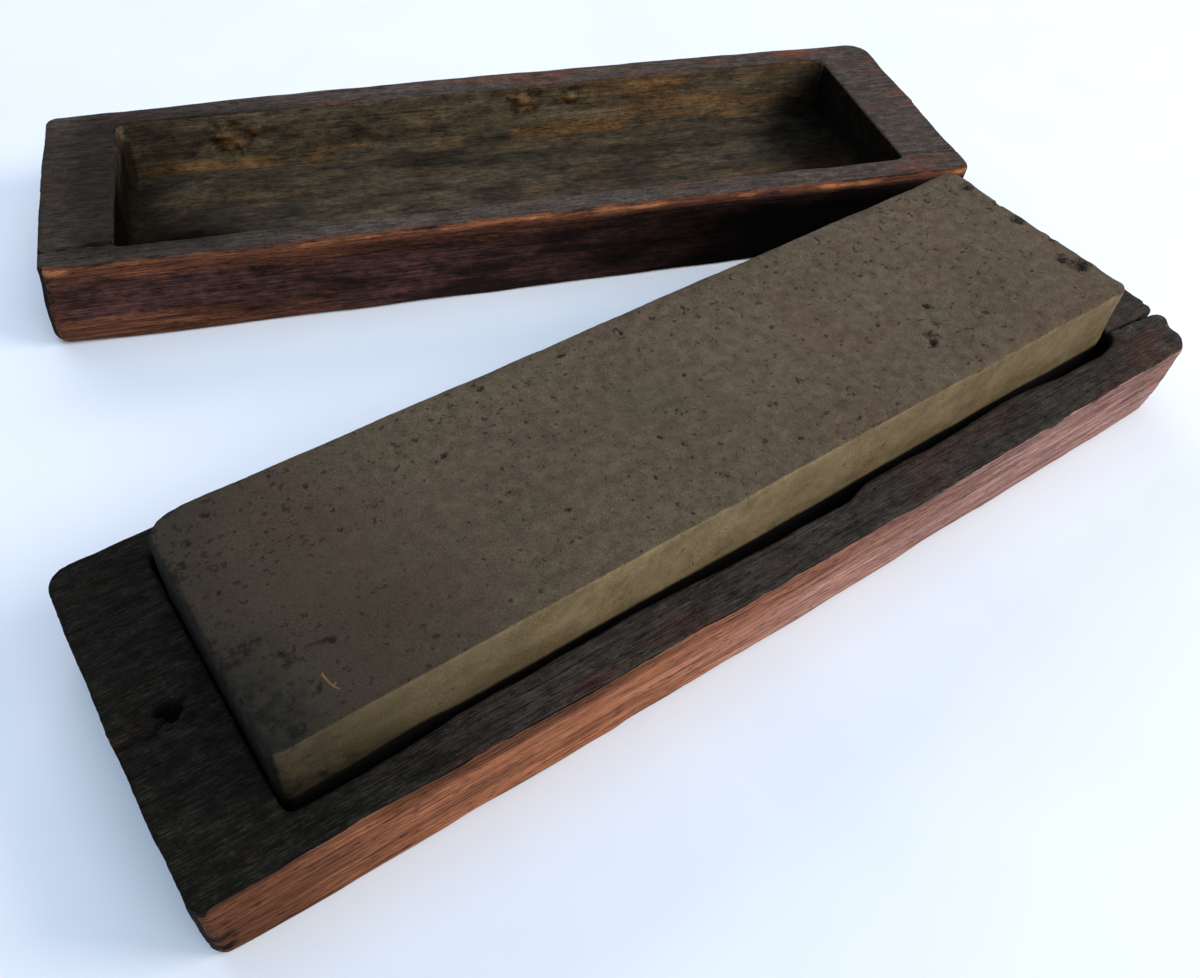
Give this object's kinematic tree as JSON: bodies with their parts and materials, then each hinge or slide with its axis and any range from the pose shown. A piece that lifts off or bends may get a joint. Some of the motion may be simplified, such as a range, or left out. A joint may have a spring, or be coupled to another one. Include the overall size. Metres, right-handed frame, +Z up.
{
  "type": "boxed bench whetstone",
  "caption": "Rectangular bench sharpening stone sitting in the recess of a worn hardwood box base, with the box's hollowed lid lying open beside it.",
  "frame": {"origin": "centre of the box base's underside, where it rests on the table", "axes": "+X along the base's length, +Y across it towards the lid, +Z up"},
  "size_m": [0.2701, 0.2189, 0.0347],
  "materials": {
    "base_wood": "oil-soaked and worn",
    "stone": "matt, oil-darkened, fine-pored",
    "lid_wood": "oil-soaked and worn"
  },
  "bodies": {
    "base": {"box_base": "base_wood"},
    "stone": {"whetstone": "stone"},
    "lid": {"box_lid": "lid_wood"}
  },
  "joints": [
    {"name": "stone_lift", "type": "slide", "parent": "base", "child": "stone", "axis": [0, 0, 1], "range_m": [0, 0.06]},
    {"name": "lid_lift", "type": "slide", "parent": "base", "child": "lid", "axis": [0, 0, 1], "range_m": [0, 0.06]}
  ]
}
